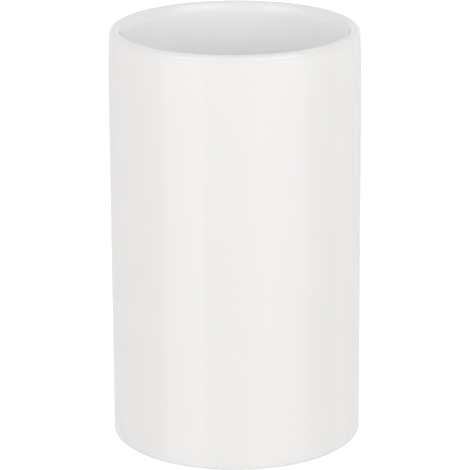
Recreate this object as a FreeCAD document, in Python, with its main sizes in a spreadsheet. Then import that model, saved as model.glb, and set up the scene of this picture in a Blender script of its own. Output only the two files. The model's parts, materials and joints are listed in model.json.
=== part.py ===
import FreeCAD, Part
import Sketcher

import math
import os
from collections import namedtuple
from enum import IntEnum

# A straight white bathroom tumbler: a cast ceramic cup with its glaze, standing on four glued pads.
# The frame is +Z up, in millimetres. The origin is the middle of the plane that the pads rest on.

# Driving dimensions, in millimetres and degrees
SIZES = [
    ("outer_diameter", 70.0, "outside of the glazed wall"),
    ("cup_height", 117.0, "from the foot ring to the top of the lip"),
    ("wall_thickness", 3.7, "glazed wall, both skins included"),
    ("floor_thickness", 5.0, "glazed floor, both skins included"),
    ("glaze_thickness", 0.4, "one skin of glaze"),
    ("shoulder_draw", 0.4, "how far the outside draws in below the lip"),
    ("shoulder_height", 17.5, "from the top of the lip down to where the draw starts"),
    ("mouth_flare", 0.3, "how far the inside opens out below the lip"),
    ("mouth_height", 3.4, "from the top of the lip down to where the flare starts"),
    ("inner_corner_radius", 6.0, "inside, where the wall meets the floor"),
    ("base_edge_radius", 1.5, "outside, at the foot of the wall"),
    ("glaze_edge_angle", 40.0, "how far round the base edge the glaze runs"),
    ("foot_ring_width", 6.3, "from the outside of the wall to the recess"),
    ("ring_edge_radius", 0.4, "inner edge of the foot ring"),
    ("recess_corner_radius", 0.8, "where the recess meets the underside of the floor"),
    ("pad_diameter", 8.0, "clear bumper pad"),
    ("pad_height", 2.0, "bumper pad without its adhesive"),
    ("pad_edge_radius", 0.6, "rounded edge of a pad's foot"),
    ("pad_standout", 0.6, "how far the pads stand below the foot ring"),
    ("pad_wall_gap", 1.3, "between a pad and the glazed side of the recess"),
    ("adhesive_thickness", 0.2, "adhesive disc above a pad"),
    ("adhesive_inset", 0.2, "edge of the pad that the adhesive leaves free"),
]
PAD_COUNT = 4
FIRST_PAD_ANGLE = 45
FULL_TURN = 360

doc = FreeCAD.newDocument("bathroom_tumbler")


class Point(IntEnum):
    """The points of a sketch edge that a constraint can name."""

    START = 1
    END = 2
    CENTRE = 3


class Datum(IntEnum):
    """A sketch's own origin and upright axis, as a constraint names them."""

    ORIGIN = -1
    UPRIGHT_AXIS = -2


def make_sheet():
    """The spreadsheet that holds the driving dimensions."""
    made = doc.addObject("Spreadsheet::Sheet", "sizes")
    for row, (alias, value, meaning) in enumerate(SIZES, start=1):
        made.set(f"A{row}", meaning)
        made.set(f"B{row}", str(value))
        made.setAlias(f"B{row}", alias)
    doc.recompute()
    return made


sheet = make_sheet()


class Length:
    """A length worked out from the sheet: its value now, and the expression that keeps it bound."""

    def __init__(self, value, text):
        self.value = value
        self.text = text

    def __add__(self, other):
        return Length(self.value + other.value, f"({self.text} + {other.text})")

    def __sub__(self, other):
        return Length(self.value - other.value, f"({self.text} - {other.text})")

    def __truediv__(self, divisor):
        return Length(self.value / divisor, f"({self.text} / {divisor})")


def size(alias):
    """One cell of the sheet."""
    return Length(float(sheet.get(alias)), f"{sheet.Name}.{alias}")


# Skin depths: the glazed surface, and the clay's own surface under one thickness of glaze
FACE = Length(0.0, "0")
BOND = size("glaze_thickness")

# Levels above the resting plane
FOOT_LEVEL = size("pad_standout")
CEILING_LEVEL = size("pad_height") + size("adhesive_thickness")
FLOOR_LEVEL = CEILING_LEVEL + size("floor_thickness")
CREST_LEVEL = FOOT_LEVEL + size("cup_height")
SHOULDER_LEVEL = CREST_LEVEL - size("shoulder_height")
MOUTH_LEVEL = CREST_LEVEL - size("mouth_height")
BASE_CENTRE_LEVEL = FOOT_LEVEL + size("base_edge_radius") - BOND

# Radii about the cup's axis, and the round of the lip
OUTER_RADIUS = size("outer_diameter") / 2
INNER_RADIUS = OUTER_RADIUS - size("wall_thickness")
RECESS_RADIUS = OUTER_RADIUS - size("foot_ring_width")
LIP_RADIUS = (size("wall_thickness") - size("shoulder_draw") - size("mouth_flare")) / 2
LIP_CENTRE_RADIUS = OUTER_RADIUS - size("shoulder_draw") - LIP_RADIUS
LIP_CENTRE_LEVEL = CREST_LEVEL - LIP_RADIUS

PAD_RADIUS = size("pad_diameter") / 2
PAD_CIRCLE_RADIUS = RECESS_RADIUS - BOND - size("pad_wall_gap") - PAD_RADIUS

# A drawn edge: its index in the sketch, and its first and last points in the direction of drawing
Edge = namedtuple("Edge", "index first last")


class Section:
    """A sketch on one of a body's own planes, drawn edge by edge and dimensioned from the sheet."""

    def __init__(self, body, name, plane):
        self.sketch = body.newObject("Sketcher::SketchObject", name)
        planes = {feature.Role: feature for feature in body.Origin.OriginFeatures}
        self.sketch.AttachmentSupport = (planes[plane], [""])
        self.sketch.MapMode = "FlatFace"

    def line(self, start, end):
        """A straight edge from one point to another."""
        segment = Part.LineSegment(FreeCAD.Vector(*start), FreeCAD.Vector(*end))
        return Edge(self.sketch.addGeometry(segment, False), Point.START, Point.END)

    def circle(self, centre, radius):
        """A whole circle."""
        whole = Part.Circle(FreeCAD.Vector(*centre), FreeCAD.Vector(0, 0, 1), radius)
        return self.sketch.addGeometry(whole, False)

    def arc(self, centre, radius, from_angle, to_angle):
        """A round edge from one angle to another, either way round."""
        whole = Part.Circle(FreeCAD.Vector(*centre), FreeCAD.Vector(0, 0, 1), radius)
        low, high = sorted((from_angle, to_angle))
        index = self.sketch.addGeometry(Part.ArcOfCircle(whole, low, high), False)
        if from_angle < to_angle:
            return Edge(index, Point.START, Point.END)
        return Edge(index, Point.END, Point.START)

    def bridge(self, edge, point, other, other_point):
        """A straight edge between two points that are already drawn."""
        start = self.sketch.getPoint(edge.index, point)
        end = self.sketch.getPoint(other.index, other_point)
        made = self.line(start, end)
        self.fix("Coincident", edge.index, point, made.index, Point.START)
        self.fix("Coincident", other.index, other_point, made.index, Point.END)
        return made

    def fix(self, *constraint):
        """A constraint without a size."""
        self.sketch.addConstraint(Sketcher.Constraint(*constraint))

    def bind(self, name, length, kind, *places):
        """A dimension that follows the sheet."""
        value = math.radians(length.value) if kind == "Angle" else length.value
        index = self.sketch.addConstraint(Sketcher.Constraint(kind, *places, value))
        self.sketch.renameConstraint(index, name)
        self.sketch.setExpression(f"Constraints.{name}", length.text)

    def level(self, name, edge, point, height):
        """The height of a point above the resting plane."""
        self.bind(name, height, "DistanceY", Datum.ORIGIN, Point.START, edge.index, point)

    def reach(self, name, edge, point, radius):
        """The distance of a point from the cup's axis."""
        self.bind(name, radius, "DistanceX", Datum.ORIGIN, Point.START, edge.index, point)

    def radius(self, name, edge, radius):
        """The radius of a round edge."""
        self.bind(name, radius, "Radius", edge.index)

    def join(self, chain):
        """Joins edges end to end with no corner between them."""
        for before, after in zip(chain, chain[1:]):
            self.fix("Tangent", before.index, before.last, after.index, after.first)


def ease_radius(wall, level, lip):
    """Radius of the arc that leaves an upright wall at a level and runs into the round of the lip."""
    across = -abs((wall - LIP_CENTRE_RADIUS).value)
    up = (LIP_CENTRE_LEVEL - level).value
    return (lip.value**2 - across**2 - up**2) / (2 * (across + lip.value))


def angle_between(centre, point):
    """The direction from a centre to a point."""
    return math.atan2(point[1] - centre[1], point[0] - centre[0])


def draw_cup_side(section, name, skin, base_end):
    """The cup's surface at one skin depth, from the inside floor, over the lip, to the base edge.

    Returns the edge along the floor and the one round the base, which ends at the angle base_end.
    """
    inner = INNER_RADIUS + skin
    outer = OUTER_RADIUS - skin
    floor = FLOOR_LEVEL - skin
    crest = CREST_LEVEL - skin
    lip = LIP_RADIUS - skin
    corner = size("inner_corner_radius") + skin
    base = size("base_edge_radius") - skin
    mouth = ease_radius(inner, MOUTH_LEVEL, lip)
    shoulder = ease_radius(outer, SHOULDER_LEVEL, lip)
    corner_centre = ((inner - corner).value, (floor + corner).value)
    mouth_centre = (inner.value + mouth, MOUTH_LEVEL.value)
    lip_centre = (LIP_CENTRE_RADIUS.value, LIP_CENTRE_LEVEL.value)
    shoulder_centre = (outer.value - shoulder, SHOULDER_LEVEL.value)
    base_centre = ((outer - base).value, BASE_CENTRE_LEVEL.value)
    flare = angle_between(mouth_centre, lip_centre)
    lean = angle_between(shoulder_centre, lip_centre)

    inside_floor = section.line((0, floor.value), (corner_centre[0], floor.value))
    inside_corner = section.arc(corner_centre, corner.value, -math.pi / 2, 0)
    inside_wall = section.line((inner.value, corner_centre[1]), (inner.value, mouth_centre[1]))
    flared_out = section.arc(mouth_centre, mouth, math.pi, flare)
    lip_inside = section.arc(lip_centre, lip.value, flare, math.pi / 2)
    lip_outside = section.arc(lip_centre, lip.value, math.pi / 2, lean)
    drawn_in = section.arc(shoulder_centre, shoulder, lean, 0)
    outside_wall = section.line((outer.value, shoulder_centre[1]), (outer.value, base_centre[1]))
    base_edge = section.arc(base_centre, base.value, 0, base_end)

    inside = [inside_floor, inside_corner, inside_wall, flared_out, lip_inside]
    outside = [lip_outside, drawn_in, outside_wall, base_edge]
    section.join(inside + outside)
    section.fix("PointOnObject", inside_floor.index, inside_floor.first, Datum.UPRIGHT_AXIS)
    section.fix("Horizontal", inside_floor.index)
    section.fix("Vertical", inside_wall.index)
    section.fix("Vertical", outside_wall.index)
    section.fix("Vertical", lip_inside.index, lip_inside.last, lip_inside.index, Point.CENTRE)
    section.fix("Equal", lip_inside.index, lip_outside.index)
    section.level(f"{name}_floor_level", inside_floor, inside_floor.first, floor)
    section.radius(f"{name}_corner_radius", inside_corner, corner)
    section.reach(f"{name}_inner_radius", inside_wall, inside_wall.first, inner)
    section.level(f"{name}_mouth_level", inside_wall, inside_wall.last, MOUTH_LEVEL)
    section.radius(f"{name}_lip_radius", lip_inside, lip)
    section.reach(f"{name}_lip_centre_radius", lip_inside, Point.CENTRE, LIP_CENTRE_RADIUS)
    section.level(f"{name}_crest_level", lip_inside, lip_inside.last, crest)
    section.level(f"{name}_shoulder_level", outside_wall, outside_wall.first, SHOULDER_LEVEL)
    section.reach(f"{name}_outer_radius", outside_wall, outside_wall.first, outer)
    section.radius(f"{name}_base_radius", base_edge, base)
    section.level(f"{name}_base_centre_level", base_edge, Point.CENTRE, BASE_CENTRE_LEVEL)
    return inside_floor, base_edge


def draw_recess_side(section, name, skin):
    """The recess under the floor at one skin depth: its rounded corner, and its ceiling in to the axis."""
    corner = size("recess_corner_radius") - BOND + skin
    ceiling = CEILING_LEVEL + skin
    centre_reach = RECESS_RADIUS - size("recess_corner_radius")
    centre = (centre_reach.value, (ceiling - corner).value)

    rounded = section.arc(centre, corner.value, 0, math.pi / 2)
    flat = section.line((centre[0], ceiling.value), (0, ceiling.value))
    section.join([rounded, flat])
    section.fix("Horizontal", flat.index)
    section.fix("PointOnObject", flat.index, flat.last, Datum.UPRIGHT_AXIS)
    section.radius(f"{name}_recess_corner_radius", rounded, corner)
    section.reach(f"{name}_recess_corner_reach", rounded, Point.CENTRE, centre_reach)
    section.level(f"{name}_ceiling_level", flat, flat.last, ceiling)
    return rounded, flat


def turn(body, section, name):
    """Turns a section once round the cup's axis."""
    solid = body.newObject("PartDesign::Revolution", name)
    solid.Profile = section.sketch
    solid.ReferenceAxis = (section.sketch, ["V_Axis"])
    solid.Angle = FULL_TURN
    return body


def make_ceramic_body():
    """The fired clay cup: wall, floor and foot ring."""
    body = doc.addObject("PartDesign::Body", "ceramic_body")
    section = Section(body, "clay_section", "XZ_Plane")
    inside_floor, base_edge = draw_cup_side(section, "clay", BOND, -math.pi / 2)
    rounded, flat = draw_recess_side(section, "clay", BOND)

    ring_edge = size("ring_edge_radius")
    edge_centre = ((RECESS_RADIUS + ring_edge).value, (FOOT_LEVEL + ring_edge).value)
    foot_start = section.sketch.getPoint(base_edge.index, base_edge.last)
    wall_end = section.sketch.getPoint(rounded.index, rounded.first)
    foot = section.line(foot_start, (edge_centre[0], FOOT_LEVEL.value))
    inner_edge = section.arc(edge_centre, ring_edge.value, -math.pi / 2, -math.pi)
    recess_wall = section.line((RECESS_RADIUS.value, edge_centre[1]), wall_end)
    section.join([base_edge, foot, inner_edge, recess_wall, rounded])
    section.fix("Horizontal", foot.index)
    section.fix("Vertical", recess_wall.index)
    section.radius("ring_edge_radius", inner_edge, ring_edge)
    section.bridge(flat, flat.last, inside_floor, inside_floor.first)
    return turn(body, section, "clay_cup")


def make_glaze_coat():
    """The glaze over the inside, the lip and the outside, down to its edge partway round the base."""
    body = doc.addObject("PartDesign::Body", "glaze_coat")
    section = Section(body, "coat_section", "XZ_Plane")
    edge_angle = size("glaze_edge_angle")
    base_end = -math.radians(edge_angle.value)
    floor_face, base_face = draw_cup_side(section, "face", FACE, base_end)
    floor_bond, base_bond = draw_cup_side(section, "bond", BOND, base_end)

    rim = section.bridge(base_face, base_face.last, base_bond, base_bond.last)
    half_turn = Length(FULL_TURN, str(FULL_TURN)) / 2
    section.fix("PointOnObject", base_face.index, Point.CENTRE, rim.index)
    section.bind("rim_angle", half_turn - edge_angle, "Angle", rim.index)
    section.bridge(floor_bond, floor_bond.first, floor_face, floor_face.first)
    return turn(body, section, "coat")


def make_base_glaze():
    """The glaze in the recess under the floor, down to the end of the recess's rounded corner."""
    body = doc.addObject("PartDesign::Body", "base_glaze")
    section = Section(body, "recess_section", "XZ_Plane")
    corner_face, ceiling_face = draw_recess_side(section, "face", FACE)
    corner_bond, ceiling_bond = draw_recess_side(section, "bond", BOND)

    rim = section.bridge(corner_face, corner_face.first, corner_bond, corner_bond.first)
    section.fix("Horizontal", rim.index)
    section.fix("PointOnObject", corner_face.index, Point.CENTRE, rim.index)
    section.bridge(ceiling_face, ceiling_face.last, ceiling_bond, ceiling_bond.last)
    return turn(body, section, "recess_coat")


def place_on_circle(piece, number):
    """Puts a piece at its place on the circle of pads."""
    angle = FIRST_PAD_ANGLE + FULL_TURN * (number - 1) / PAD_COUNT
    piece.setExpression("Placement.Base.x", f"{PAD_CIRCLE_RADIUS.text} * cos({angle} deg)")
    piece.setExpression("Placement.Base.y", f"{PAD_CIRCLE_RADIUS.text} * sin({angle} deg)")


def make_pad(number):
    """One clear bumper pad, with its foot on the resting plane."""
    body = doc.addObject("PartDesign::Body", f"non_slip_pad_{number}")
    section = Section(body, f"pad_{number}_outline", "XY_Plane")
    outline = section.circle((0, 0), PAD_RADIUS.value)
    section.fix("Coincident", outline, Point.CENTRE, Datum.ORIGIN, Point.START)
    section.bind("pad_radius", PAD_RADIUS, "Radius", outline)
    disc = body.newObject("PartDesign::Pad", f"pad_{number}_disc")
    disc.Profile = section.sketch
    disc.setExpression("Length", size("pad_height").text)
    doc.recompute()

    half_height = size("pad_height").value / 2
    edges = enumerate(disc.Shape.Edges, start=1)
    foot_edges = [f"Edge{count}" for count, edge in edges if edge.BoundBox.ZMax < half_height]
    rounded = body.newObject("PartDesign::Fillet", f"pad_{number}_foot_edge")
    rounded.Base = (disc, foot_edges)
    rounded.setExpression("Radius", size("pad_edge_radius").text)
    place_on_circle(body, number)
    return body


def make_adhesive(number):
    """The adhesive disc between a pad and the base glaze."""
    disc = doc.addObject("Part::Cylinder", f"pad_adhesive_{number}")
    disc.setExpression("Radius", (PAD_RADIUS - size("adhesive_inset")).text)
    disc.setExpression("Height", size("adhesive_thickness").text)
    disc.setExpression("Placement.Base.z", size("pad_height").text)
    place_on_circle(disc, number)
    return disc


def check(pieces):
    """Stops before anything is written if an object failed or a piece isn't one sound solid."""
    for item in doc.Objects:
        if {"Invalid", "Error"} & set(item.State):
            raise RuntimeError(f"{item.Label} failed: {item.State}")
        if item.TypeId == "Sketcher::SketchObject" and not item.FullyConstrained:
            raise RuntimeError(f"{item.Label} isn't fully constrained")
    for piece in pieces:
        if piece.Shape.isNull() or not piece.Shape.isValid() or len(piece.Shape.Solids) != 1:
            raise RuntimeError(f"{piece.Label} isn't one sound solid")


def main():
    pieces = [make_ceramic_body(), make_glaze_coat(), make_base_glaze()]
    for number in range(1, PAD_COUNT + 1):
        pieces.append(make_pad(number))
        pieces.append(make_adhesive(number))
    doc.recompute()
    check(pieces)

    os.makedirs("parts", exist_ok=True)
    for piece in pieces:
        piece.Shape.exportStep(f"parts/{piece.Label}.step")
        print(f"{piece.Label}: {piece.Shape.Volume:.1f} cubic millimetres")


main()
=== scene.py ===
import json
import math

import bmesh
import bpy
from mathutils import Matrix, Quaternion, Vector, noise


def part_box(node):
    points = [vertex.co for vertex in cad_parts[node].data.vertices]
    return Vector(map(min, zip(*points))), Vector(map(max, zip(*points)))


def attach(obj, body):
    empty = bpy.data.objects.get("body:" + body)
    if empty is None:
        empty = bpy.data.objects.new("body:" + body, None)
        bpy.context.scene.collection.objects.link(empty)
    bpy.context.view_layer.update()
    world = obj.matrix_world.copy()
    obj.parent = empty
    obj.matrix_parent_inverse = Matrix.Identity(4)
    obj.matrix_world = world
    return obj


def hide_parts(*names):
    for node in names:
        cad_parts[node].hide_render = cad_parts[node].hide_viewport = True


# A white glazed bathroom tumbler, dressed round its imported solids. Lengths are in metres.

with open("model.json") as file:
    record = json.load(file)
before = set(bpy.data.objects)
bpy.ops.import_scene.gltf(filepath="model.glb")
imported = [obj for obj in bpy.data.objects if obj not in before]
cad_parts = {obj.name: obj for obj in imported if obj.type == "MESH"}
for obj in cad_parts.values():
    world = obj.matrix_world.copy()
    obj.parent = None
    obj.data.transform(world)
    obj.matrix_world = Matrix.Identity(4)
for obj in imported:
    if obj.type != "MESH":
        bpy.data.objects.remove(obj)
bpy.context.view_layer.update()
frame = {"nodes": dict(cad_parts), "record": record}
MM = 0.001

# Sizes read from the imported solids
COAT_LOW, COAT_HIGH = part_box("glaze_coat")
CLAY_LOW, CLAY_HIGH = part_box("ceramic_body")
RECESS_LOW, RECESS_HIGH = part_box("base_glaze")
BORE = {mount["name"]: mount for mount in frame["record"]["mounts"]}["cup_inside"]
OUTER_RADIUS = COAT_HIGH.x
CREST = COAT_HIGH.z
GLAZE = CREST - CLAY_HIGH.z
FOOT = CLAY_LOW.z
INNER_RADIUS = BORE["dims"]["r_mm"] * MM
INSIDE_WALL_LOW = BORE["pos_m"][2] - BORE["dims"]["length_mm"] * MM / 2
INSIDE_WALL_HIGH = BORE["pos_m"][2] + BORE["dims"]["length_mm"] * MM / 2
RECESS_CEILING = RECESS_HIGH.z - GLAZE
RECESS_RADIUS = RECESS_HIGH.x
RECESS_CORNER = RECESS_HIGH.z - RECESS_LOW.z

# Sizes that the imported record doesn't state
FLOOR = RECESS_CEILING + 5.0 * MM
SHOULDER = CREST - 17.5 * MM
SHOULDER_DRAW = 0.4 * MM
MOUTH_FLARE = 0.3 * MM
LIP_RADIUS = (OUTER_RADIUS - SHOULDER_DRAW - INNER_RADIUS - MOUTH_FLARE) / 2
LIP_CENTRE = (OUTER_RADIUS - SHOULDER_DRAW - LIP_RADIUS, CREST - LIP_RADIUS)
BASE_EDGE_RADIUS = 1.5 * MM
BASE_EDGE_CENTRE = (OUTER_RADIUS - BASE_EDGE_RADIUS, FOOT + BASE_EDGE_RADIUS - GLAZE)
BASE_EDGE_ANGLE = math.asin((BASE_EDGE_CENTRE[1] - COAT_LOW.z) / BASE_EDGE_RADIUS)
PAD_EDGE_RADIUS = 0.6 * MM
PAD_COUNT = 4

# How finely the turned pieces are divided, and how near the axis a point counts as on it
TURN_STEPS = 320
PAD_TURN_STEPS = 64
ARC_STEP = math.radians(5)
STRAIGHT_STEP = 4.0 * MM
ON_AXIS = 1e-9


def arc(centre, radius, start, end):
    """Points (radius, height) round an arc, at most ARC_STEP or STRAIGHT_STEP apart."""
    sweep = abs(end - start)
    count = max(math.ceil(sweep / ARC_STEP), math.ceil(sweep * radius / STRAIGHT_STEP))
    angles = [start + (end - start) * step / count for step in range(count + 1)]
    return [(centre[0] + radius * math.cos(angle), centre[1] + radius * math.sin(angle)) for angle in angles]


def straight(start, end):
    """Points (radius, height) between two points, without the two themselves."""
    count = max(1, math.ceil(math.dist(start, end) / STRAIGHT_STEP))
    steps = [step / count for step in range(1, count)]
    return [tuple(a + (b - a) * step for a, b in zip(start, end)) for step in steps]


def chain(*runs):
    """Joins runs of points with straight stretches between them."""
    points = list(runs[0])
    for run in runs[1:]:
        points += straight(points[-1], run[0])
        points += run
    return points


def ease(wall, level, lip):
    """Centre and radius of the arc that leaves an upright wall at a level and runs into the lip's round."""
    across = -abs(wall - LIP_CENTRE[0])
    up = LIP_CENTRE[1] - level
    radius = (lip**2 - across**2 - up**2) / (2 * (across + lip))
    inwards = math.copysign(radius, LIP_CENTRE[0] - wall)
    return (wall + inwards, level), radius


def direction(centre, point):
    """The angle of a point seen from a centre."""
    return math.atan2(point[1] - centre[1], point[0] - centre[0])


def cup_side(skin, base_end):
    """The cup's surface at one depth under the glaze: from the axis over the lip to the base edge."""
    inner = INNER_RADIUS + skin
    corner = INSIDE_WALL_LOW - FLOOR + skin
    lip = LIP_RADIUS - skin
    mouth_centre, mouth = ease(inner, INSIDE_WALL_HIGH, lip)
    shoulder_centre, shoulder = ease(OUTER_RADIUS - skin, SHOULDER, lip)
    flare = direction(mouth_centre, LIP_CENTRE)
    lean = direction(shoulder_centre, LIP_CENTRE)
    return chain(
        [(0, FLOOR - skin)],
        arc((inner - corner, INSIDE_WALL_LOW), corner, -math.pi / 2, 0),
        arc(mouth_centre, mouth, math.pi, flare),
        arc(LIP_CENTRE, lip, flare, lean)[1:],
        arc(shoulder_centre, shoulder, lean, 0)[1:],
        arc(BASE_EDGE_CENTRE, BASE_EDGE_RADIUS - skin, 0, -base_end),
    )


def coat_outline():
    """The glaze over the inside, the lip and the outside, ending in a rounded bead at the base edge."""
    bead = GLAZE / 2
    middle = BASE_EDGE_RADIUS - bead
    end = BASE_EDGE_ANGLE - math.asin(bead / middle)
    bead_centre = (
        BASE_EDGE_CENTRE[0] + middle * math.cos(end),
        BASE_EDGE_CENTRE[1] - middle * math.sin(end),
    )
    rim = arc(bead_centre, bead, -end, -end - math.pi)
    return cup_side(0, end) + rim[1:-1] + cup_side(GLAZE, end)[::-1]


def recess_outline():
    """The glaze under the floor, ending in a rounded bead at the foot of the recess's corner."""
    bead = GLAZE / 2
    middle = RECESS_CORNER - bead
    end = math.asin(bead / middle)
    centre = (RECESS_RADIUS - RECESS_CORNER, RECESS_HIGH.z - RECESS_CORNER)
    bead_centre = (centre[0] + middle * math.cos(end), centre[1] + middle * math.sin(end))
    face = chain([(0, RECESS_CEILING)], arc(centre, RECESS_CORNER - GLAZE, math.pi / 2, end))
    rim = arc(bead_centre, bead, end + math.pi, end + 2 * math.pi)
    bond = chain([(0, RECESS_HIGH.z)], arc(centre, RECESS_CORNER, math.pi / 2, end))
    return face + rim[1:-1] + bond[::-1]


def turned(name, outline, centre=(0, 0), shift=None, steps=TURN_STEPS):
    """A closed smooth mesh made by turning an outline of (radius, height) points about an upright axis."""
    made = bmesh.new()
    rows = []
    for radius, height in outline:
        around = 1 if radius < ON_AXIS else steps
        row = []
        for step in range(around):
            angle = 2 * math.pi * step / steps
            point = Vector((radius * math.cos(angle), radius * math.sin(angle), height))
            if shift is not None:
                point = shift(point)
            row.append(made.verts.new(point + Vector((*centre, 0))))
        rows.append(row)
    for row, following in zip(rows, rows[1:]):
        for step in range(steps):
            after = (step + 1) % steps
            if len(row) == 1:
                made.faces.new((row[0], following[step], following[after]))
            elif len(following) == 1:
                made.faces.new((row[step], following[0], row[after]))
            else:
                made.faces.new((row[step], following[step], following[after], row[after]))
    bmesh.ops.recalc_face_normals(made, faces=made.faces)
    mesh = bpy.data.meshes.new(name)
    made.to_mesh(mesh)
    made.free()
    mesh.polygons.foreach_set("use_smooth", [True] * len(mesh.polygons))
    piece = bpy.data.objects.new(name, mesh)
    bpy.context.scene.collection.objects.link(piece)
    return piece


class Nodes:
    """A node tree under construction."""

    def __init__(self, tree):
        self.tree = tree
        self.tree.nodes.clear()

    def add(self, kind, inputs=None, **settings):
        """A node with its settings, and its inputs as values or as another node's output."""
        node = self.tree.nodes.new(kind)
        for name, value in settings.items():
            setattr(node, name, value)
        for name, value in (inputs or {}).items():
            if isinstance(value, bpy.types.NodeSocket):
                self.tree.links.new(value, node.inputs[name])
            else:
                node.inputs[name].default_value = value
        return node


def material(name):
    """A new node-based material, as (material, its nodes)."""
    made = bpy.data.materials.new(name)
    made.use_nodes = True
    return made, Nodes(made.node_tree)


def noise_factor(nodes, place, scale, detail=2.0):
    """Smooth noise from 0 to 1, with blobs about 1 / scale across."""
    made = nodes.add("ShaderNodeTexNoise", {"Vector": place, "Scale": scale, "Detail": detail})
    return made.outputs["Fac"]


def between(nodes, factor, low, high):
    """A number that runs from low to high with a factor."""
    made = nodes.add("ShaderNodeMapRange", {"Value": factor, "To Min": low, "To Max": high})
    return made.outputs["Result"]


def ramp(nodes, value, start, end):
    """A number that runs from 0 to 1 while a value runs from start to end."""
    made = nodes.add("ShaderNodeMapRange", {"Value": value, "From Min": start, "From Max": end})
    return made.outputs["Result"]


def tint(nodes, factor, low, high):
    """A colour that runs from low to high with a factor."""
    made = nodes.add("ShaderNodeMix", data_type="RGBA")
    nodes.tree.links.new(factor, made.inputs["Factor"])
    colours = [socket for socket in made.inputs if socket.type == "RGBA"]
    for socket, value in zip(colours, (low, high)):
        if isinstance(value, bpy.types.NodeSocket):
            nodes.tree.links.new(value, socket)
        else:
            socket.default_value = (*value, 1)
    return next(socket for socket in made.outputs if socket.type == "RGBA")


# Glaze: the colours of its clouds inside and outside, of which the inside ones are lighter as painted light
# in the cup's hollow, its colour on the lip, which is painted shade on the up-facing crest, and its gloss
# and ripple.
# A scale is the number of blobs to a metre.
# The inside colours are lighter than the outside ones: painted light in the cup's hollow.
GLAZE_INSIDE_PAINTED_LIGHT = ((0.908, 0.920, 0.918), (0.922, 0.934, 0.932))
GLAZE_OUTSIDE = ((0.884, 0.893, 0.892), (0.898, 0.907, 0.906))
# The lip's colour is darker than the rest: painted shade on the up-facing crest.
GLAZE_PAINTED_SHADE_ON_LIP = (0.848, 0.850, 0.843)
GLAZE_CLOUD_SCALE = 45.0
GLAZE_ROUGHNESS = (0.015, 0.035)
GLAZE_ROUGHNESS_SCALE = 140.0
GLAZE_IOR = 1.5
RIPPLE_STRENGTH = 0.02
RIPPLE_DEPTH = 0.2 * MM
RIPPLE_SCALE = 320.0


def outwards(nodes, place):
    """A number that runs from 0 on the inside wall to 1 on the lip and the outside; where it is 0 the glaze
    takes the painted light of the inside.
    """
    level = nodes.add("ShaderNodeVectorMath", {0: place, 1: (1, 1, 0)}, operation="MULTIPLY")
    radius = nodes.add("ShaderNodeVectorMath", {0: level.outputs["Vector"]}, operation="LENGTH")
    return ramp(nodes, radius.outputs["Value"], INNER_RADIUS, INNER_RADIUS + 2 * MOUTH_FLARE)


def painted_shade_crest_mask(nodes, place):
    """A number that runs from 0 below the lip to 1 round its crest, where the painted shade on the lip lies.
    """
    height = nodes.add("ShaderNodeSeparateXYZ", {"Vector": place}).outputs["Z"]
    return ramp(nodes, height, LIP_CENTRE[1] - LIP_RADIUS / 2, LIP_CENTRE[1] + LIP_RADIUS / 2)


def glaze_material():
    """White glaze: clear gloss over a faintly clouded white, with the slight ripple of a fired surface.

    Inside the cup its white is painted lighter, as painted light in the hollow, and round the lip's crest it
    is painted darker, as painted shade on the up-facing lip.
    """
    made, nodes = material("white_glaze")
    place = nodes.add("ShaderNodeTexCoord").outputs["Object"]
    cloud = noise_factor(nodes, place, GLAZE_CLOUD_SCALE, detail=3.0)
    # The lighter inside white is painted light in the cup's hollow.
    inside = tint(nodes, cloud, *GLAZE_INSIDE_PAINTED_LIGHT)
    outside = tint(nodes, cloud, *GLAZE_OUTSIDE)
    side = tint(nodes, outwards(nodes, place), inside, outside)
    # Darker towards the crest: painted shade on the up-facing lip.
    colour = tint(nodes, painted_shade_crest_mask(nodes, place), side, GLAZE_PAINTED_SHADE_ON_LIP)
    gloss = between(nodes, noise_factor(nodes, place, GLAZE_ROUGHNESS_SCALE), *GLAZE_ROUGHNESS)
    height = noise_factor(nodes, place, RIPPLE_SCALE)
    ripple = nodes.add(
        "ShaderNodeBump",
        {"Strength": RIPPLE_STRENGTH, "Distance": RIPPLE_DEPTH, "Height": height},
    )
    shader = nodes.add(
        "ShaderNodeBsdfPrincipled",
        {"Base Color": colour, "Roughness": gloss, "IOR": GLAZE_IOR, "Normal": ripple.outputs["Normal"]},
    )
    nodes.add("ShaderNodeOutputMaterial", {"Surface": shader.outputs["BSDF"]})
    return made


# Bare clay: the colours of its stains, and its grain and pits
CLAY_COLOURS = ((0.70, 0.655, 0.585), (0.80, 0.765, 0.70))
CLAY_STAIN_SCALE = 120.0
CLAY_ROUGHNESS = (0.78, 0.95)
CLAY_GRAIN_SCALE = 2600.0
PIT_STRENGTH = 0.5
PIT_DEPTH = 0.05 * MM


def clay_material():
    """Bare fired clay: matt, warm white, finely grained and faintly stained."""
    made, nodes = material("bare_clay")
    place = nodes.add("ShaderNodeTexCoord").outputs["Object"]
    grain = noise_factor(nodes, place, CLAY_GRAIN_SCALE, detail=4.0)
    stain = noise_factor(nodes, place, CLAY_STAIN_SCALE, detail=3.0)
    colour = tint(nodes, stain, *CLAY_COLOURS)
    rough = between(nodes, grain, *CLAY_ROUGHNESS)
    pits = nodes.add("ShaderNodeBump", {"Strength": PIT_STRENGTH, "Distance": PIT_DEPTH, "Height": grain})
    shader = nodes.add(
        "ShaderNodeBsdfPrincipled",
        {"Base Color": colour, "Roughness": rough, "Normal": pits.outputs["Normal"]},
    )
    nodes.add("ShaderNodeOutputMaterial", {"Surface": shader.outputs["BSDF"]})
    return made


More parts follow.
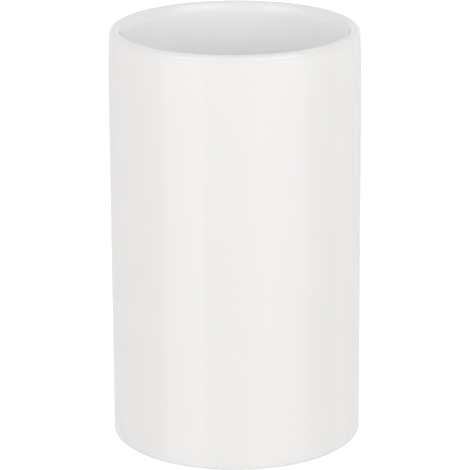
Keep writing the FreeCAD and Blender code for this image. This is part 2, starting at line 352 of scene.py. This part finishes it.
# Pads and adhesive: the colours of their clouds and bubbles, their gloss, and how clear they are
ELASTIC_IOR = 1.47
PAD_COLOURS = ((0.86, 0.89, 0.89), (0.93, 0.95, 0.95))
PAD_CLOUD_SCALE = 420.0
PAD_ROUGHNESS = (0.16, 0.3)
PAD_ROUGHNESS_SCALE = 900.0
PAD_CLEARNESS = 0.3
ADHESIVE_COLOURS = ((0.86, 0.84, 0.76), (0.78, 0.76, 0.68))
ADHESIVE_ROUGHNESS = (0.35, 0.55)
ADHESIVE_CLEARNESS = 0.15
BUBBLE_SCALE = 1500.0


def pad_material():
    """Clear elastic bumper: soft gloss, a trace of cloud inside."""
    made, nodes = material("clear_pad")
    place = nodes.add("ShaderNodeTexCoord").outputs["Object"]
    cloud = noise_factor(nodes, place, PAD_CLOUD_SCALE, detail=3.0)
    colour = tint(nodes, cloud, *PAD_COLOURS)
    rough = between(nodes, noise_factor(nodes, place, PAD_ROUGHNESS_SCALE), *PAD_ROUGHNESS)
    shader = nodes.add(
        "ShaderNodeBsdfPrincipled",
        {"Base Color": colour, "Roughness": rough, "IOR": ELASTIC_IOR, "Transmission Weight": PAD_CLEARNESS},
    )
    nodes.add("ShaderNodeOutputMaterial", {"Surface": shader.outputs["BSDF"]})
    return made


def adhesive_material():
    """Milky adhesive film with small trapped bubbles."""
    made, nodes = material("adhesive_film")
    place = nodes.add("ShaderNodeTexCoord").outputs["Object"]
    cells = nodes.add("ShaderNodeTexVoronoi", {"Vector": place, "Scale": BUBBLE_SCALE})
    bubbles = cells.outputs["Distance"]
    colour = tint(nodes, bubbles, *ADHESIVE_COLOURS)
    rough = between(nodes, bubbles, *ADHESIVE_ROUGHNESS)
    shader = nodes.add(
        "ShaderNodeBsdfPrincipled",
        {
            "Base Color": colour,
            "Roughness": rough,
            "IOR": ELASTIC_IOR,
            "Transmission Weight": ADHESIVE_CLEARNESS,
        },
    )
    nodes.add("ShaderNodeOutputMaterial", {"Surface": shader.outputs["BSDF"]})
    return made


def dress(piece, look):
    """Gives a piece its only material."""
    piece.data.materials.clear()
    piece.data.materials.append(look)
    return piece


def settle(piece, node):
    """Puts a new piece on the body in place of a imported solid."""
    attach(piece, "root")
    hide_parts(node)


# The fired surface is a few hundredths of a millimetre out of true
WAVE_DEPTH = 0.02 * MM
WAVE_LENGTH = 32.0 * MM


def fired_wave(point):
    """Draws a point of the coat's outer face in by its share of the wave, which fades out at the lip."""
    around = Vector((point.x, point.y, 0))
    share = (around.length - OUTER_RADIUS + GLAZE) / GLAZE
    if share <= 0:
        return point
    depth = share * WAVE_DEPTH * (2 + noise.noise(point / WAVE_LENGTH))
    return point - around.normalized() * depth


def make_cup():
    """The two skins of glaze in place of their solids, and the clay's look."""
    glaze = glaze_material()
    coat = dress(turned("cup_glaze", coat_outline(), shift=fired_wave), glaze)
    settle(coat, "glaze_coat")
    recess = dress(turned("recess_glaze", recess_outline()), glaze)
    settle(recess, "base_glaze")
    dress(frame["nodes"]["ceramic_body"], clay_material())


def make_pads():
    """The pads in place of their solids, and the look of their adhesive."""
    clear = pad_material()
    film = adhesive_material()
    for number in range(1, PAD_COUNT + 1):
        low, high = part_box(f"non_slip_pad_{number}")
        centre = (low + high) / 2
        radius = (high.x - low.x) / 2
        outline = chain(
            [(0, low.z)],
            arc((radius - PAD_EDGE_RADIUS, low.z + PAD_EDGE_RADIUS), PAD_EDGE_RADIUS, -math.pi / 2, 0),
            [(radius, high.z)],
            [(0, high.z)],
        )
        pad = dress(turned(f"clear_pad_{number}", outline, centre.xy, steps=PAD_TURN_STEPS), clear)
        settle(pad, f"non_slip_pad_{number}")
        dress(frame["nodes"][f"pad_adhesive_{number}"], film)


# The photograph's camera: lens in millimetres, angles in radians
CAMERA_LENS = 221.9
CAMERA_DISTANCE = 0.8129
CAMERA_ELEVATION = math.radians(17.146)
CAMERA_ROLL = 0.0052
CAMERA_ORBIT_HEIGHT = 0.0591
CAMERA_AIM = Vector((-0.00021, 0, 0.05771))


def make_camera():
    """A camera in front of the cup and above it, as the photograph was taken."""
    eye = Vector((
        0,
        -CAMERA_DISTANCE * math.cos(CAMERA_ELEVATION),
        CAMERA_ORBIT_HEIGHT + CAMERA_DISTANCE * math.sin(CAMERA_ELEVATION),
    ))
    camera = bpy.data.objects.new("camera", bpy.data.cameras.new("camera"))
    camera.data.lens = CAMERA_LENS
    camera.location = eye
    camera.rotation_mode = "QUATERNION"
    aim = (CAMERA_AIM - eye).to_track_quat("-Z", "Y")
    camera.rotation_quaternion = aim @ Quaternion((0, 0, 1), -CAMERA_ROLL)
    bpy.context.scene.collection.objects.link(camera)
    bpy.context.scene.camera = camera


# Studio. The world lights from all sides, except for a ceiling that dims between two heights of the sky.
WHITE = (1, 1, 1, 1)
WHITE_STRENGTH = 1.0
LIGHT_COLOUR = (1.0, 0.983, 0.98, 1)
AMBIENT = 1.07
CEILING_AMBIENT = 0.05
CEILING_START = math.sin(math.radians(38))
CEILING_END = math.sin(math.radians(58))
FLOOR_COLOUR = (0.692, 0.68, 0.665, 1)
FLOOR_GLOW = 0.75
FLOOR_RADIUS = 4.0
FLOOR_OPENING = BASE_EDGE_CENTRE[0]
FLOOR_SIDES = 128
FLOOR_DROP = 0.05 * MM

# Cards round the cup: name, left and right edge in degrees from the camera, lowest and highest elevation in
# degrees, strength. A softbox is a light. A reflector shows in the gloss alone. Cards are divided every
# CARD_STEP degrees or closer.
CARD_RADIUS = 1.6
CARD_STEP = 3
SOFTBOXES = [
    ("left_softbox", -68, -27.8, 14, 48, 2.35),
    ("front_softbox", -27.8, 15.6, 14, 48, 1.23),
    ("right_softbox", 15.6, 68, 14, 48, 2.39),
]
REFLECTORS = [
    ("left_reflector", -68, -27.8, -50, 14, 1.25),
    ("front_reflector", -27.8, 15.6, -50, 14, 0.5),
    ("right_reflector", 15.6, 68, -50, 14, 1.0),
    ("left_flank", -105, -68, -50, 60, 0.7),
    ("right_flank", 68, 105, -50, 60, 0.5),
    ("low_back", 105, 255, -50, 0, 0.86),
    ("high_back", 105, 255, 0, 60, 1.1),
]


def seen_directly(nodes):
    """1 for what the camera sees straight, mirrored or through something clear, and 0 for light."""
    path = nodes.add("ShaderNodeLightPath").outputs
    seen = path["Is Camera Ray"]
    for other in ("Is Glossy Ray", "Is Transmission Ray"):
        made = nodes.add("ShaderNodeMath", operation="MAXIMUM")
        nodes.tree.links.new(seen, made.inputs[0])
        nodes.tree.links.new(path[other], made.inputs[1])
        seen = made.outputs["Value"]
    return seen


def make_world():
    """Light from all sides with a dim ceiling. Wherever the camera sees it, it is plain white."""
    world = bpy.data.worlds.new("studio")
    world.use_nodes = True
    nodes = Nodes(world.node_tree)
    way = nodes.add("ShaderNodeTexCoord").outputs["Generated"]
    up = nodes.add("ShaderNodeSeparateXYZ", {"Vector": way}).outputs["Z"]
    fade = nodes.add(
        "ShaderNodeMapRange",
        {
            "Value": up,
            "From Min": CEILING_START,
            "From Max": CEILING_END,
            "To Min": AMBIENT,
            "To Max": CEILING_AMBIENT,
        },
    )
    ambient = nodes.add("ShaderNodeBackground", {"Color": LIGHT_COLOUR, "Strength": fade.outputs["Result"]})
    backdrop = nodes.add("ShaderNodeBackground", {"Color": WHITE, "Strength": WHITE_STRENGTH})
    both = nodes.add("ShaderNodeMixShader", {"Fac": seen_directly(nodes)})
    nodes.tree.links.new(ambient.outputs["Background"], both.inputs[1])
    nodes.tree.links.new(backdrop.outputs["Background"], both.inputs[2])
    nodes.add("ShaderNodeOutputWorld", {"Surface": both.outputs["Shader"]})
    bpy.context.scene.world = world


def floor_material():
    """Pale floor that keeps the cup's shadow: its own white, and a glow that only the camera sees."""
    made, nodes = material("pale_floor")
    white = nodes.add("ShaderNodeBsdfDiffuse", {"Color": FLOOR_COLOUR})
    seen = seen_directly(nodes)
    glow = nodes.add("ShaderNodeEmission", {"Strength": between(nodes, seen, 0.0, FLOOR_GLOW)})
    both = nodes.add("ShaderNodeAddShader")
    nodes.tree.links.new(white.outputs["BSDF"], both.inputs[0])
    nodes.tree.links.new(glow.outputs["Emission"], both.inputs[1])
    clear = nodes.add("ShaderNodeBsdfTransparent")
    from_below = nodes.add("ShaderNodeNewGeometry").outputs["Backfacing"]
    sided = nodes.add("ShaderNodeMixShader", {"Fac": from_below})
    nodes.tree.links.new(both.outputs["Shader"], sided.inputs[1])
    nodes.tree.links.new(clear.outputs["BSDF"], sided.inputs[2])
    nodes.add("ShaderNodeOutputMaterial", {"Surface": sided.outputs["Shader"]})
    return made


def make_floor():
    """A round floor, open under the cup so that the underside isn't left in the dark."""
    made = bmesh.new()
    rings = []
    for radius in (FLOOR_OPENING, FLOOR_RADIUS):
        angles = [2 * math.pi * step / FLOOR_SIDES for step in range(FLOOR_SIDES)]
        rings.append([made.verts.new((radius * math.cos(a), radius * math.sin(a), 0)) for a in angles])
    for step in range(FLOOR_SIDES):
        inner, outer = (ring[step] for ring in rings)
        next_inner, next_outer = (ring[(step + 1) % FLOOR_SIDES] for ring in rings)
        made.faces.new((inner, outer, next_outer, next_inner))
    mesh = bpy.data.meshes.new("floor")
    made.to_mesh(mesh)
    made.free()
    floor = bpy.data.objects.new("floor", mesh)
    floor.location.z = -FLOOR_DROP
    floor.visible_glossy = False
    dress(floor, floor_material())
    bpy.context.scene.collection.objects.link(floor)


def glow_material(name, strength):
    """A card's even white glow."""
    made, nodes = material(name)
    glow = nodes.add("ShaderNodeEmission", {"Color": LIGHT_COLOUR, "Strength": strength})
    nodes.add("ShaderNodeOutputMaterial", {"Surface": glow.outputs["Emission"]})
    return made


def make_card(name, left, right, low, high, strength, lights):
    """An upright curved card round the cup, which either lights it or only shows in its gloss."""
    made = bmesh.new()
    steps = math.ceil((right - left) / CARD_STEP)
    heights = [CARD_RADIUS * math.tan(math.radians(elevation)) for elevation in (low, high)]
    rows = []
    for step in range(steps + 1):
        angle = math.radians(left + (right - left) * step / steps)
        across = CARD_RADIUS * math.sin(angle)
        along = -CARD_RADIUS * math.cos(angle)
        rows.append([made.verts.new((across, along, height)) for height in heights])
    for before, after in zip(rows, rows[1:]):
        made.faces.new((before[0], after[0], after[1], before[1]))
    mesh = bpy.data.meshes.new(name)
    made.to_mesh(mesh)
    made.free()
    card = bpy.data.objects.new(name, mesh)
    dress(card, glow_material(name, strength))
    card.visible_camera = False
    card.visible_transmission = False
    card.visible_diffuse = lights
    card.visible_shadow = lights
    bpy.context.scene.collection.objects.link(card)


def make_studio():
    """World, floor and cards."""
    make_world()
    make_floor()
    for card in SOFTBOXES:
        make_card(*card, lights=True)
    for card in REFLECTORS:
        make_card(*card, lights=False)
    bpy.context.scene.view_settings.view_transform = "Standard"


make_cup()
make_pads()
make_camera()
make_studio()
